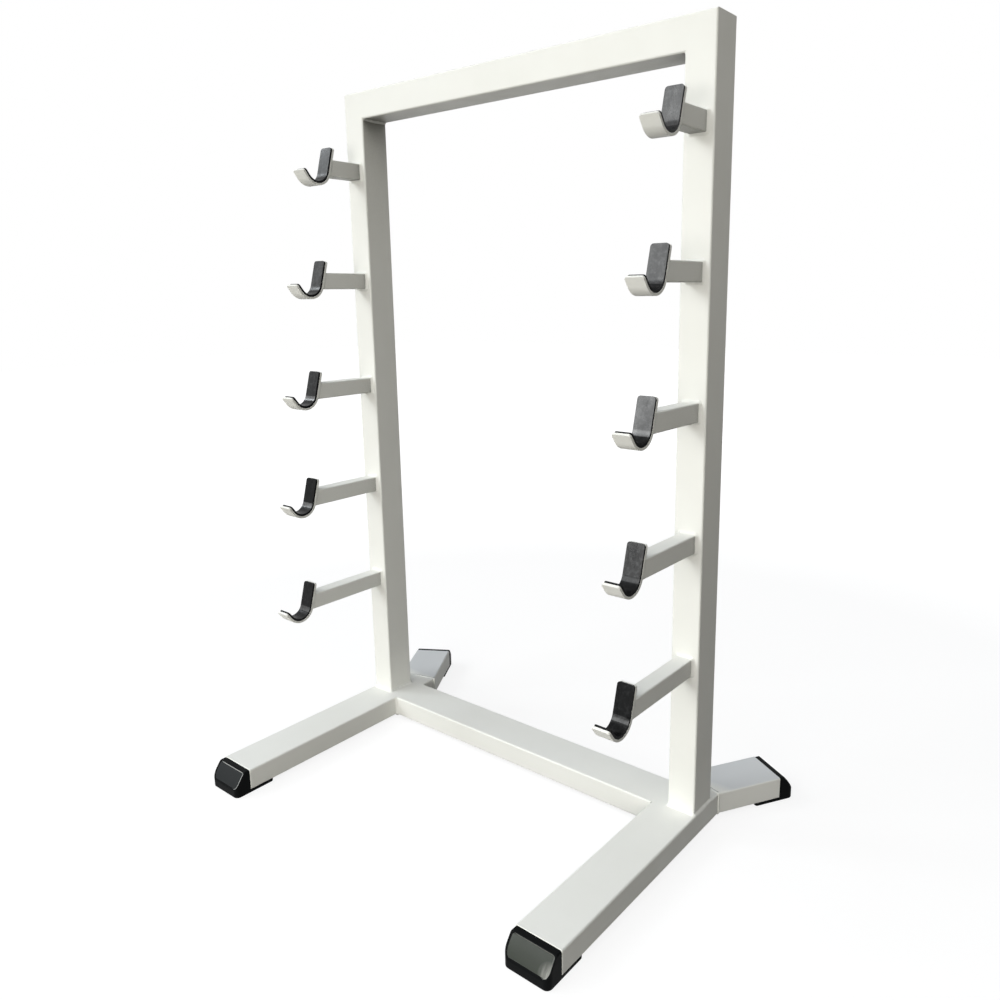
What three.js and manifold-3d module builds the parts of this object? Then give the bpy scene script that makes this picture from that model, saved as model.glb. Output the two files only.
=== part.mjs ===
// Barbell storage rack: a welded frame of rectangular steel tube, ten arms that end in
// lined hooks, and four moulded caps that close the foot tubes and carry the rack.
//
// Millimetres, +Z up. The bars lie along X and are lifted off the hooks towards -Y.
// The rack stands on Z = 0, with the middle of its footprint on the origin.

import * as THREE from 'three';
import { mergeVertices, toCreasedNormals } from 'three/addons/utils/BufferGeometryUtils.js';
import Module from 'manifold-3d';

// Overall sizes
const rackWidth = 1000; // over the outer faces of the two uprights
const uprightHeight = 1560; // from the top of the foot tubes to the top of the frame
const footReach = 471; // foot tube ahead of the front faces of the uprights
const footOutset = 4.5; // outer sides of the foot tubes beyond those of the uprights
const footSetback = 105; // outer side of the foot tube behind those faces, up to its mitre
const rearLegLength = 162; // outer side of the splayed leg, from the mitre to its end
const splayAngle = THREE.MathUtils.degToRad(31);

// Tube sections
const frameTubeWidth = 63; // across the front
const frameTubeDepth = 76; // front to back
const frameTubeWall = 3;
const frameTubeCorner = 4; // outside radius
const footTubeWidth = 102;
const footTubeHeight = 50;
const footTubeWall = 3;
const footTubeCorner = 4;
const armTubeWidth = 36;
const armTubeHeight = 38;
const armTubeWall = 2;
const armTubeCorner = 3;

// Arms, from the lowest pair up: how far each carries its hook from the upright
const armReaches = [225, 196, 167, 131, 91];
const lowestArmRise = 330; // middle of the lowest arm above the foot tubes
const highestArmDrop = 184; // middle of the highest arm below the top of the frame

// Hooks, bent from flat bar
const hookWidth = 38;
const hookThickness = 5;
const hookBendRadius = 33; // inside of the bend
const hookBackRise = 47; // straight back above the middle of the arm
const hookDrop = 42; // underside of the bend below the middle of the arm
const hookLipLength = 20; // straight lip beyond the bend
const hookBackCorner = 6;
const hookLipCorner = 5;
const hookTilt = THREE.MathUtils.degToRad(15); // back leans towards the upright
const hookLipAngle = THREE.MathUtils.degToRad(53); // lip rises from level

// Rubber liners bonded inside the hooks
const linerThickness = 5;
const linerInset = 0.5; // hook edge left bare all round

// Moulded foot caps
const soleThickness = 8; // under the foot tube
const soleLength = 62; // under the foot tube, back from its end
const soleCorner = 6; // upright corners at the back of the sole
const soleEdge = 3; // rounding along the bottom edges
const capLength = 38; // beyond the end of the tube
const capLedge = 12; // level top before the sloping face
const capToeHeight = 20; // upright face below the slope, from the floor
const capBulge = 1.6; // crown of the sloping face
const capCorner = 12; // upright corners at the front
const capWall = 3;
const panelRim = 2.5; // edge left round the panel sunk into the sloping face
const panelDepth = 0.8;
const plugLength = 30;
const plugRibHeight = 1.2;
const plugRibWidth = 2;
const plugRibSpacing = 8;
const plugRibLead = 4; // plain nose ahead of the ribs

// Welds and clearances
const weldLeg = 5; // fillets at the feet of the uprights and arms
const outsetWeldLeg = 3; // the same, on the outer sides of the uprights
const hookWeldLeg = 3; // fillet behind each hook
const beadWidth = 4; // raised beads round the mitres of the feet
const beadHeight = 1.2;
const jointGap = 0.3; // between welded, bonded or pressed pieces
const cutOverrun = 5; // cutters stand this far past what they cut

// Facets
const tubeCornerSteps = 4;
const armCornerSteps = 3;
const hookCornerSteps = 3;
const hookBendSteps = 12;
const capCornerSteps = 4;
const capSlopeSteps = 4;
const weldSteps = 2;
const creaseAngle = THREE.MathUtils.degToRad(35);

const footLevel = soleThickness + footTubeHeight; // top of the foot tubes above the floor
const armSpacing = (uprightHeight - lowestArmRise - highestArmDrop) / (armReaches.length - 1);
const footMiddle = (rackWidth - footTubeWidth) / 2 + footOutset;
const quarterTurn = Math.PI / 2;

const wasm = await Module();
wasm.setup();

const powderCoat = { color: 0xe9e8e3, roughness: 0.42, metalness: 0 };
const blackRubber = { color: 0x1b1c1e, roughness: 0.5, metalness: 0 };
const blackPlastic = { color: 0x17181a, roughness: 0.45, metalness: 0 };

function namedMesh(name, geometry, finish) {
  const mesh = new THREE.Mesh(geometry, new THREE.MeshStandardMaterial(finish));
  mesh.name = name;
  return mesh;
}

// Points anticlockwise round a rectangle centred on the origin, with one corner radius
// at its top (+Y) and one at its bottom.
function roundedRectangle(width, height, topRadius, bottomRadius, steps) {
  const points = [];
  const corners = [[1, topRadius], [-1, topRadius], [-1, bottomRadius], [1, bottomRadius]];
  corners.forEach(([sideX, radius], quarter) => {
    const sideY = quarter < 2 ? 1 : -1;
    for (let step = 0; step <= steps; step += 1) {
      const angle = (quarter + step / steps) * quarterTurn;
      points.push(new THREE.Vector2(
        sideX * (width / 2 - radius) + radius * Math.cos(angle),
        sideY * (height / 2 - radius) + radius * Math.sin(angle),
      ));
    }
  });
  return points;
}

// A loop of points at a height given for each point by heightAt.
function loopAt(outline, heightAt) {
  return outline.map((point) => new THREE.Vector3(point.x, point.y, heightAt(point)));
}

// Joins loops of equally many points, each to the next, into one skin. A ring of loops
// closes on itself; otherwise the first and the last loop are filled in.
function skinLoops(loops, isRing) {
  const count = loops[0].length;
  const positions = loops.flat().flatMap((point) => [point.x, point.y, point.z]);
  const indices = [];
  const bands = isRing ? loops.length : loops.length - 1;
  for (let band = 0; band < bands; band += 1) {
    const near = band * count;
    const far = ((band + 1) % loops.length) * count;
    for (let side = 0; side < count; side += 1) {
      const next = (side + 1) % count;
      indices.push(near + side, near + next, far + next);
      indices.push(near + side, far + next, far + side);
    }
  }
  if (!isRing) {
    const last = (loops.length - 1) * count;
    for (let side = 1; side < count - 1; side += 1) {
      indices.push(0, side + 1, side);
      indices.push(last, last + side, last + side + 1);
    }
  }
  const geometry = new THREE.BufferGeometry();
  geometry.setAttribute('position', new THREE.Float32BufferAttribute(positions, 3));
  geometry.setIndex(indices);
  return geometry;
}

// An open-ended tube along Z. Its sides are loops from the foot of the tube to its head, and
// the bore runs between the heights given by footAt and headAt.
function tubeGeometry(sides, bore, footAt, headAt) {
  const loops = [...sides, loopAt(bore, headAt), loopAt(bore, footAt)];
  return toCreasedNormals(skinLoops(loops, true), creaseAngle);
}

function plainTube(section, footAt, headAt) {
  const sides = [loopAt(section.outside, footAt), loopAt(section.outside, headAt)];
  return tubeGeometry(sides, section.bore, footAt, headAt);
}

function tubeSection(width, height, wall, corner, steps) {
  return {
    outside: roundedRectangle(width, height, corner, corner, steps),
    bore: roundedRectangle(
      width - 2 * wall, height - 2 * wall, corner - wall, corner - wall, steps,
    ),
  };
}

// Cross-sections of welds, for an angle from the weld's edge (0) to the bare tube (a quarter
// turn): how far the weld stands out of the tube, and how far along it, as shares of its size.
function filletShares(angle) {
  return { outShare: 1 - Math.sin(angle), alongShare: 1 - Math.cos(angle) };
}

function beadShares(angle) {
  return { outShare: Math.cos(angle), alongShare: Math.sin(angle) };
}

// The weld round an end of a tube, as loops from that end to the bare tube. It stands out by
// weld.left, .right, .top and .bottom, and runs along the tube for weld.along, which is
// negative at the head of a tube. endAt gives the plane of the end.
function weldLoops(outline, weld, endAt) {
  const loops = [];
  for (let step = 0; step <= weldSteps; step += 1) {
    const { outShare, alongShare } = weld.shares((step / weldSteps) * quarterTurn);
    const ring = outline.map((point) => new THREE.Vector2(
      point.x + outShare * (point.x < 0 ? -weld.left : weld.right),
      point.y + outShare * (point.y < 0 ? -weld.bottom : weld.top),
    ));
    loops.push(loopAt(ring, (point) => endAt(point) + alongShare * weld.along));
  }
  return loops;
}

const frameSection = tubeSection(
  frameTubeWidth, frameTubeDepth, frameTubeWall, frameTubeCorner, tubeCornerSteps,
);
const footSection = tubeSection(
  footTubeWidth, footTubeHeight, footTubeWall, footTubeCorner, tubeCornerSteps,
);
const armSection = tubeSection(
  armTubeWidth, armTubeHeight, armTubeWall, armTubeCorner, armCornerSteps,
);

// How far a tube stops short of a mitre that leans by angle, for half of the joint gap.
function mitreBackoff(angle) {
  return jointGap / 2 / Math.cos(angle);
}

// An upright stands on its foot tube, just inside the tube's outer side, and its mitred head
// rises towards that side. Its weld is smaller there.
function upright(side) {
  const middle = uprightHeight - frameTubeWidth / 2 - mitreBackoff(quarterTurn / 2);
  const footAt = () => 0;
  const headAt = (point) => middle + side * point.x;
  const weld = {
    shares: filletShares,
    along: weldLeg,
    left: side < 0 ? outsetWeldLeg : weldLeg,
    right: side < 0 ? weldLeg : outsetWeldLeg,
    top: weldLeg,
    bottom: weldLeg,
  };
  const sides = [
    ...weldLoops(frameSection.outside, weld, footAt),
    loopAt(frameSection.outside, headAt),
  ];
  const geometry = tubeGeometry(sides, frameSection.bore, footAt, headAt);
  const mesh = namedMesh(`${sideName(side)}_upright`, geometry, powderCoat);
  mesh.position.set(
    side * (rackWidth - frameTubeWidth) / 2,
    frameTubeDepth / 2,
    footLevel + jointGap,
  );
  return mesh;
}

function topBeam() {
  const middle = (rackWidth - frameTubeWidth) / 2 - mitreBackoff(quarterTurn / 2);
  const geometry = plainTube(
    frameSection,
    (point) => -middle + point.x,
    (point) => middle - point.x,
  );
  const mesh = namedMesh('top_beam', geometry, powderCoat);
  mesh.rotation.y = quarterTurn;
  mesh.position.set(
    0,
    frameTubeDepth / 2,
    footLevel + jointGap + uprightHeight - frameTubeWidth / 2,
  );
  return mesh;
}

// The cross beam lies flat between the foot tubes, centred under the uprights.
function crossBeam() {
  const halfLength = rackWidth / 2 + footOutset - footTubeWidth - jointGap;
  const geometry = plainTube(footSection, () => -halfLength, () => halfLength);
  const mesh = namedMesh('cross_beam', geometry, powderCoat);
  mesh.rotation.set(quarterTurn, quarterTurn, 0);
  mesh.position.set(0, frameTubeDepth / 2, soleThickness + footTubeHeight / 2);
  return mesh;
}

const mitreAngle = splayAngle / 2;
const mitreRun = footTubeWidth / 2 * Math.tan(mitreAngle); // half of a mitred end's slant

// The raised bead round a mitred end of a foot tube, which runs along it by the given length.
function mitreBead(along) {
  return {
    shares: beadShares,
    along,
    left: beadHeight,
    right: beadHeight,
    top: beadHeight,
    bottom: beadHeight,
  };
}

function frontFoot(side) {
  const rearEnd = footSetback + mitreRun - mitreBackoff(mitreAngle);
  const footAt = () => -footReach;
  const headAt = (point) => rearEnd - side * point.x * Math.tan(mitreAngle);
  const sides = [
    loopAt(footSection.outside, footAt),
    ...weldLoops(footSection.outside, mitreBead(-beadWidth / 2), headAt).reverse(),
  ];
  const geometry = tubeGeometry(sides, footSection.bore, footAt, headAt);
  const mesh = namedMesh(`${sideName(side)}_front_foot`, geometry, powderCoat);
  mesh.rotation.x = -quarterTurn;
  mesh.position.set(
    side * footMiddle,
    0,
    soleThickness + footTubeHeight / 2,
  );
  return mesh;
}

// The splayed leg and its cap, in a group that turns about the outer end of the mitre.
function rearLeg(side) {
  const frontEnd = mitreBackoff(mitreAngle) - mitreRun;
  const footAt = (point) => frontEnd + side * point.x * Math.tan(mitreAngle);
  const headAt = () => rearLegLength;
  const sides = [
    ...weldLoops(footSection.outside, mitreBead(beadWidth / 2), footAt),
    loopAt(footSection.outside, headAt),
  ];
  const geometry = tubeGeometry(sides, footSection.bore, footAt, headAt);
  const leg = namedMesh(`${sideName(side)}_rear_leg`, geometry, powderCoat);
  leg.rotation.x = -quarterTurn;
  leg.position.set(-side * footTubeWidth / 2, 0, soleThickness + footTubeHeight / 2);

  const cap = namedMesh(`${sideName(side)}_rear_cap`, footCapGeometry, blackPlastic);
  cap.position.set(-side * footTubeWidth / 2, rearLegLength, 0);

  const group = new THREE.Group();
  group.add(leg, cap);
  group.rotation.z = -side * splayAngle;
  group.position.set(side * (rackWidth / 2 + footOutset), footSetback, 0);
  return group;
}

function frontCap(side) {
  const cap = namedMesh(`${sideName(side)}_front_cap`, footCapGeometry, blackPlastic);
  cap.rotation.z = Math.PI;
  cap.position.set(side * footMiddle, -footReach, 0);
  return cap;
}

// Solids for cutting and joining

function toSolid(geometry) {
  const bare = geometry.clone();
  bare.deleteAttribute('normal');
  bare.deleteAttribute('uv');
  const merged = mergeVertices(bare);
  return new wasm.Manifold(new wasm.Mesh({
    numProp: 3,
    vertProperties: new Float32Array(merged.attributes.position.array),
    triVerts: new Uint32Array(merged.index.array),
  }));
}

function fromSolid(solid) {
  const mesh = solid.getMesh();
  const geometry = new THREE.BufferGeometry();
  geometry.setAttribute('position', new THREE.BufferAttribute(mesh.vertProperties, 3));
  geometry.setIndex(new THREE.BufferAttribute(mesh.triVerts, 1));
  return toCreasedNormals(geometry, creaseAngle);
}

function extrude(points, depth) {
  return new THREE.ExtrudeGeometry(new THREE.Shape(points), { depth, bevelEnabled: false });
}

// A prism along X, centred on X = 0, whose outline is seen from +X: its points are (y, z).
function prismAlongX(points, width) {
  const geometry = extrude(points, width);
  geometry.translate(0, 0, -width / 2);
  geometry.rotateX(quarterTurn);
  geometry.rotateZ(quarterTurn);
  return toSolid(geometry);
}

// A prism along Y from start to end, whose points are (x, z).
function prismAlongY(points, start, end) {
  const geometry = extrude(points, end - start);
  geometry.rotateX(quarterTurn);
  geometry.translate(0, end, 0);
  return toSolid(geometry);
}

function prismAlongZ(points, height) {
  return toSolid(extrude(points, height));
}

function shifted(points, rise) {
  return points.map((point) => new THREE.Vector2(point.x, point.y + rise));
}

// The foot cap is drawn on the end of its tube: Y = 0 is that end and +Y is out of the tube.
// Outlines of it, drawn in by an inset: from above, and from the front.
function capPlan(inset) {
  const points = roundedRectangle(
    footTubeWidth - 2 * inset,
    capLength + soleLength - 2 * inset,
    capCorner - inset,
    soleCorner - inset,
    capCornerSteps,
  );
  return shifted(points, (capLength - soleLength) / 2);
}

function capFront(inset) {
  const points = roundedRectangle(
    footTubeWidth - 2 * inset,
    footLevel - 2 * inset,
    footTubeCorner - inset,
    soleEdge - inset,
    capCornerSteps,
  );
  return shifted(points, footLevel / 2);
}

// The crowned slope of the cap seen from the side, from its ledge down to its toe, pushed out
// by offset and cut short by margin at both ends.
function capSlope(offset, margin) {
  const top = new THREE.Vector2(capLedge, footLevel);
  const bottom = new THREE.Vector2(capLength, capToeHeight);
  const chord = bottom.clone().sub(top);
  const radius = (chord.lengthSq() / 4 + capBulge * capBulge) / (2 * capBulge);
  const outward = new THREE.Vector2(-chord.y, chord.x).normalize();
  const centre = top.clone().add(bottom).divideScalar(2)
    .addScaledVector(outward, capBulge - radius);
  const halfAngle = Math.asin(chord.length() / 2 / radius) - margin / radius;
  const points = [];
  for (let step = 0; step <= capSlopeSteps; step += 1) {
    const angle = outward.angle() + halfAngle * (1 - 2 * step / capSlopeSteps);
    points.push(new THREE.Vector2(
      centre.x + (radius + offset) * Math.cos(angle),
      centre.y + (radius + offset) * Math.sin(angle),
    ));
  }
  return points;
}

// The part of the cap beyond the tube, seen from the side, from the given back to its slope.
function capSide(back, wall) {
  return [
    new THREE.Vector2(back, 0),
    new THREE.Vector2(back, footLevel),
    ...capSlope(-wall, 0),
    new THREE.Vector2(capLength - wall, 0),
  ];
}

// The plug's section, for a given clearance to the walls of the tube's bore.
function plugSection(clearance) {
  const room = footTubeWall + clearance;
  const radius = footTubeCorner - footTubeWall;
  const points = roundedRectangle(
    footTubeWidth - 2 * room, footTubeHeight - 2 * room, radius, radius, armCornerSteps,
  );
  return shifted(points, soleThickness + footTubeHeight / 2);
}

// The cap: a shell that carries on the lines of the tube, a sole that reaches back under it,
// and a plug with crush ribs. The shell is cored out through the plug.
function footCap() {
  const outline = prismAlongZ(capPlan(0), footLevel);
  const shell = prismAlongX(capSide(jointGap, 0), footTubeWidth)
    .intersect(prismAlongY(capFront(0), 0, capLength))
    .intersect(outline);
  const sole = prismAlongZ(capPlan(0), soleThickness - jointGap)
    .intersect(prismAlongY(capFront(0), -soleLength, capLength));
  const plugClearance = jointGap + plugRibHeight;
  let cap = shell.add(sole).add(prismAlongY(plugSection(plugClearance), -plugLength, capWall));
  let rib = -plugLength + plugRibLead;
  while (rib + plugRibWidth < 0) {
    cap = cap.add(prismAlongY(plugSection(jointGap), rib, rib + plugRibWidth));
    rib += plugRibSpacing;
  }
  const coreStart = -plugLength - cutOverrun;
  const core = prismAlongY(plugSection(plugClearance + capWall), coreStart, capLength)
    .intersect(prismAlongX(capSide(coreStart, capWall + panelDepth), footTubeWidth));
  const panelBand = prismAlongX([
    ...capSlope(cutOverrun, panelRim),
    ...capSlope(-panelDepth, panelRim).reverse(),
  ], footTubeWidth);
  const panel = panelBand
    .intersect(prismAlongZ(capPlan(panelRim), footLevel))
    .intersect(prismAlongY(capFront(panelRim), 0, capLength));
  return fromSolid(cap.subtract(core).subtract(panel));
}

const footCapGeometry = footCap();

// An arm is welded to the front of its upright, and its outer end slants like the hook. The
// weld behind the hook has no room under the arm, where the hook bends away.
function arm(side, level, reach) {
  const footAt = () => 0;
  const headAt = (point) => reach - jointGap / Math.cos(hookTilt) - point.y * Math.tan(hookTilt);
  const rootWeld = {
    shares: filletShares,
    along: weldLeg,
    left: weldLeg,
    right: weldLeg,
    top: weldLeg,
    bottom: weldLeg,
  };
  const sideRoom = Math.min((hookWidth - armTubeWidth) / 2, hookWeldLeg);
  const hookWeld = {
    shares: filletShares,
    along: -hookWeldLeg,
    left: sideRoom,
    right: sideRoom,
    top: hookWeldLeg,
    bottom: 0,
  };
  const sides = [
    ...weldLoops(armSection.outside, rootWeld, footAt),
    ...weldLoops(armSection.outside, hookWeld, headAt).reverse(),
  ];
  const geometry = tubeGeometry(sides, armSection.bore, footAt, headAt);
  const mesh = namedMesh(`${sideName(side)}_arm_${level + 1}`, geometry, powderCoat);
  mesh.rotation.x = quarterTurn;
  mesh.position.set(0, -jointGap, 0);
  return mesh;
}

// Hook and liner are flat blanks bent round one centre. The profile lies in the YZ plane,
// with the back's rear face through the origin at the middle of the arm.
const hookOuterRadius = hookBendRadius + hookThickness;
const backBelowArm = (hookOuterRadius * (Math.sin(hookTilt) - 1) + hookDrop) / Math.cos(hookTilt);

// Which way the blank runs, from its back down and round to its lip, after a given turn.
function blankDirection(turn) {
  return new THREE.Vector2(-Math.sin(turn), -Math.cos(turn));
}

function blankInward(turn) {
  return new THREE.Vector2(-Math.cos(turn), Math.sin(turn));
}

const bendCentre = blankDirection(hookTilt).multiplyScalar(backBelowArm)
  .addScaledVector(blankInward(hookTilt), hookOuterRadius);

// Stations along a blank: the turn so far, how far the station lies along the straight back
// or lip, and how wide the blank is there. Its ends have rounded corners.
function blankStations(width, backLength, lipLength) {
  const endTurn = quarterTurn + hookLipAngle;
  const stations = [];
  for (let step = 0; step <= hookCornerSteps; step += 1) {
    const angle = (step / hookCornerSteps) * quarterTurn;
    stations.push({
      turn: hookTilt,
      along: -(backLength - hookBackCorner * (1 - Math.cos(angle))),
      width: width - 2 * hookBackCorner * (1 - Math.sin(angle)),
    });
  }
  for (let step = 0; step <= hookBendSteps; step += 1) {
    const turn = hookTilt + (endTurn - hookTilt) * step / hookBendSteps;
    stations.push({ turn, along: 0, width });
  }
  for (let step = hookCornerSteps; step >= 0; step -= 1) {
    const angle = (step / hookCornerSteps) * quarterTurn;
    stations.push({
      turn: endTurn,
      along: lipLength - hookLipCorner * (1 - Math.cos(angle)),
      width: width - 2 * hookLipCorner * (1 - Math.sin(angle)),
    });
  }
  return stations;
}

// A bent blank between two radii of the bend.
function bentBlank(stations, outerRadius, innerRadius) {
  const loops = stations.map(({ turn, along, width }) => {
    const base = bendCentre.clone().addScaledVector(blankDirection(turn), along);
    const outer = base.clone().addScaledVector(blankInward(turn), -outerRadius);
    const inner = base.clone().addScaledVector(blankInward(turn), -innerRadius);
    return [
      new THREE.Vector3(-width / 2, outer.x, outer.y),
      new THREE.Vector3(width / 2, outer.x, outer.y),
      new THREE.Vector3(width / 2, inner.x, inner.y),
      new THREE.Vector3(-width / 2, inner.x, inner.y),
    ];
  });
  return toCreasedNormals(skinLoops(loops, false), creaseAngle);
}

const hookGeometry = bentBlank(
  blankStations(hookWidth, backBelowArm + hookBackRise, hookLipLength),
  hookOuterRadius,
  hookBendRadius,
);
const linerGeometry = bentBlank(
  blankStations(
    hookWidth - 2 * linerInset,
    backBelowArm + hookBackRise - linerInset,
    hookLipLength - linerInset,
  ),
  hookBendRadius - jointGap,
  hookBendRadius - jointGap - linerThickness,
);

// One arm with its hook and liner, in a group at the arm's root.
function barRest(side, level) {
  const reach = armReaches[level];
  const hook = namedMesh(`${sideName(side)}_hook_${level + 1}`, hookGeometry, powderCoat);
  hook.position.y = -reach - jointGap;
  const liner = namedMesh(`${sideName(side)}_liner_${level + 1}`, linerGeometry, blackRubber);
  liner.position.y = hook.position.y;
  const group = new THREE.Group();
  group.add(arm(side, level, reach), hook, liner);
  group.position.set(
    side * (rackWidth - frameTubeWidth) / 2,
    0,
    footLevel + lowestArmRise + level * armSpacing,
  );
  return group;
}

function sideName(side) {
  return side < 0 ? 'left' : 'right';
}

const rack = new THREE.Group();
rack.add(topBeam(), crossBeam());
for (const side of [-1, 1]) {
  rack.add(upright(side), frontFoot(side), frontCap(side), rearLeg(side));
  armReaches.forEach((reach, level) => rack.add(barRest(side, level)));
}

// Centre the footprint on the origin.
const footprint = new THREE.Box3().setFromObject(rack, true);
rack.position.y = -(footprint.min.y + footprint.max.y) / 2;

export default rack;
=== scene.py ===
import math
import random

import bmesh
import bpy
from mathutils import Euler, Matrix, Vector, noise


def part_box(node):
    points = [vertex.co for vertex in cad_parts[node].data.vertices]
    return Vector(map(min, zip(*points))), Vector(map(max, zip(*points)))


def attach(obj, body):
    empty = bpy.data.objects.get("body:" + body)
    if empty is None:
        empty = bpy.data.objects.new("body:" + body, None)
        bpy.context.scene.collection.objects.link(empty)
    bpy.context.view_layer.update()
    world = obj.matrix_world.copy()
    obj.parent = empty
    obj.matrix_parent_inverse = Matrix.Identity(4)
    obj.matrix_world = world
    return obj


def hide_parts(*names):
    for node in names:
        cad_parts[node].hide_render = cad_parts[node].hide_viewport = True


# Dresses a white bar rack: welded tube, bent hooks with rubber liners, moulded foot caps.
# Metres, Z up, the hooks face -Y. Sizes in the dictionaries are in millimetres.

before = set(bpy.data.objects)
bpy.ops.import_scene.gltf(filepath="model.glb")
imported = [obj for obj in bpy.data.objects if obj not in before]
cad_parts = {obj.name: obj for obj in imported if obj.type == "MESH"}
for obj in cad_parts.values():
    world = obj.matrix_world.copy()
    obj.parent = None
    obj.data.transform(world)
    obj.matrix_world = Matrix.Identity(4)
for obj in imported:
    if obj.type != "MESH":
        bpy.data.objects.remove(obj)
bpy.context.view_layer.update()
mm = 0.001
print("frame loaded:", len(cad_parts), "nodes")


# camera

cameraSetup = {
    "place": (1.239800, -1.360033, 1.137983),
    "turnDegrees": (78.0731, 0.7237, 38.5483),
    "focalLength": 30.530,       # mm, on a sensor 36 mm wide
    "sensorWidth": 36.0,
    "shift": (-0.032400, -0.027763),
}


def newObject(name, data):
    thing = bpy.data.objects.new(name, data)
    bpy.context.scene.collection.objects.link(thing)
    return thing


def placeCamera(setup):
    lens = bpy.data.cameras.new("rackCamera")
    lens.sensor_width = setup["sensorWidth"]
    lens.lens = setup["focalLength"]
    lens.shift_x, lens.shift_y = setup["shift"]
    camera = newObject("rackCamera", lens)
    camera.location = setup["place"]
    camera.rotation_euler = Euler([math.radians(a) for a in setup["turnDegrees"]])
    bpy.context.scene.camera = camera


placeCamera(cameraSetup)
bpy.context.scene.view_settings.view_transform = "Standard"
print("camera placed")


# node helpers

class Shader:
    # shorthand for building the nodes of one material, or of the sky
    def __init__(self, holder):
        holder.use_nodes = True
        self.holder = holder
        self.tree = holder.node_tree
        self.tree.nodes.clear()

    def add(self, kind, *first, **inputs):
        node = self.tree.nodes.new(kind)
        for socket, value in zip(node.inputs, first):
            self.feed(socket, value)
        for key, value in inputs.items():
            self.feed(node.inputs[key.replace("_", " ")], value)
        return node

    def feed(self, socket, value):
        if isinstance(value, bpy.types.NodeSocket):
            self.tree.links.new(value, socket)
        else:
            socket.default_value = value

    def place(self, stretch, shift=(0, 0, 0)):
        where = self.add("ShaderNodeTexCoord").outputs["Object"]
        node = self.add("ShaderNodeMapping", Vector=where, Scale=stretch, Location=shift)
        return node.outputs["Vector"]

    def noise(self, scale, detail=3.0, roughness=0.5, stretch=(1, 1, 1)):
        return self.add(
            "ShaderNodeTexNoise", Scale=scale, Detail=detail, Roughness=roughness,
            Vector=self.place(stretch),
        ).outputs["Fac"]

    def spread(self, value, low, high, fromLow=0.3, fromHigh=0.7):
        return self.add(
            "ShaderNodeMapRange", Value=value,
            From_Min=fromLow, From_Max=fromHigh, To_Min=low, To_Max=high,
        ).outputs["Result"]

    def math(self, operation, first, second=0.0):
        node = self.add("ShaderNodeMath", first, second)
        node.operation = operation
        return node.outputs["Value"]

    def product(self, first, *others):
        for other in others:
            first = self.math("MULTIPLY", first, other)
        return first

    def split(self, vector):
        return self.add("ShaderNodeSeparateXYZ", Vector=vector).outputs

    def surface(self, what):
        # X, Y and Z of the surface's Position or Normal, in the scene's frame
        return self.split(self.add("ShaderNodeNewGeometry").outputs[what])

    def round(self, centre, radius):
        # 1 at the centre, falling to 0 at the radius, in metres
        where = self.place((1 / radius,) * 3, tuple(-c / radius for c in centre))
        node = self.add("ShaderNodeTexGradient", where)
        node.gradient_type = "SPHERICAL"
        return node.outputs["Fac"]

    def blend(self, factor, first, second):
        node = self.add("ShaderNodeMix")
        node.data_type = "RGBA"
        self.feed(node.inputs["Factor"], factor)
        self.feed(node.inputs["A"], first)
        self.feed(node.inputs["B"], second)
        return node.outputs["Result"]

    def bump(self, height, strength, distance, under=None):
        node = self.add("ShaderNodeBump", Height=height, Strength=strength, Distance=distance)
        if under is not None:
            self.feed(node.inputs["Normal"], under)
        return node.outputs["Normal"]

    def coat(self, finish, colour, sheen, under=None, **inputs):
        # the sheen's noise sets the roughness, and a fine grain lies on what is under it
        return self.finish(self.add(
            "ShaderNodeBsdfPrincipled", Base_Color=colour,
            Roughness=self.spread(sheen, *finish["roughness"]),
            Normal=self.bump(self.noise(*finish["grain"]), *finish["grainRelief"], under),
            **inputs,
        ).outputs["BSDF"])

    def finish(self, shader, output="ShaderNodeOutputMaterial"):
        self.add(output, Surface=shader)
        return self.holder


def newShader(name):
    return Shader(bpy.data.materials.new(name))


# materials
# a noise is given by its scale, detail, roughness and stretch, a relief by strength and depth

paintFinish = {
    "colour": (0.866, 0.868, 0.828, 1),
    "thinColour": (0.838, 0.840, 0.796, 1),   # where the coat is a little thin
    "patch": (5.0, 4.0), "sheen": (20.0, 2.0), "roughness": (0.46, 0.56), "ior": 1.36,
    "peel": (620.0, 2.0, 0.45), "peelRelief": (0.35, 0.00012),
    "grain": (2200.0, 1.0), "grainRelief": (0.12, 0.00006),
}
paintedShadeFinish = {
    # painted shade deep in the inner corners, where an occlusion test finds them closed in, but
    # not on fronts, on tops or close to the floor
    "cornerShadeColour": (0.19, 0.187, 0.168, 1),
    "cornerReach": 0.3, "cornerOpen": (0.60, 0.98), "cornerSamples": 8,
    "cornerFront": (-0.4, -0.1), "cornerTop": (0.2, 0.6), "cornerHeight": (0.15, 0.5),
    # painted shade, bluish, on the tops of the rear legs
    "legShadeColour": (0.655, 0.670, 0.675, 1),
    "legStart": (0.21, 0.235), "legTop": (0.5, 0.95),
}


# painted shade: darker paint where the inner corners are closed in, standing in for the shade
# there
def paintedCornerShade(s, paintedShade):
    closed = s.add("ShaderNodeAmbientOcclusion", Distance=paintedShade["cornerReach"])
    closed.samples = paintedShade["cornerSamples"]
    facing = s.surface("Normal")
    return s.product(
        s.spread(closed.outputs["AO"], 1.0, 0.0, *paintedShade["cornerOpen"]),
        s.spread(facing["Y"], 0.0, 1.0, *paintedShade["cornerFront"]),
        s.spread(facing["Z"], 1.0, 0.0, *paintedShade["cornerTop"]),
        s.spread(s.surface("Position")["Z"], 0.0, 1.0, *paintedShade["cornerHeight"]),
    )


# painted shade: the tops of the rear legs are made darker and bluish, as if out of the key light
def paintedLegShade(s, paintedShade):
    return s.product(
        s.spread(s.surface("Position")["Y"], 0.0, 1.0, *paintedShade["legStart"]),
        s.spread(s.surface("Normal")["Z"], 0.0, 1.0, *paintedShade["legTop"]),
    )


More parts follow.
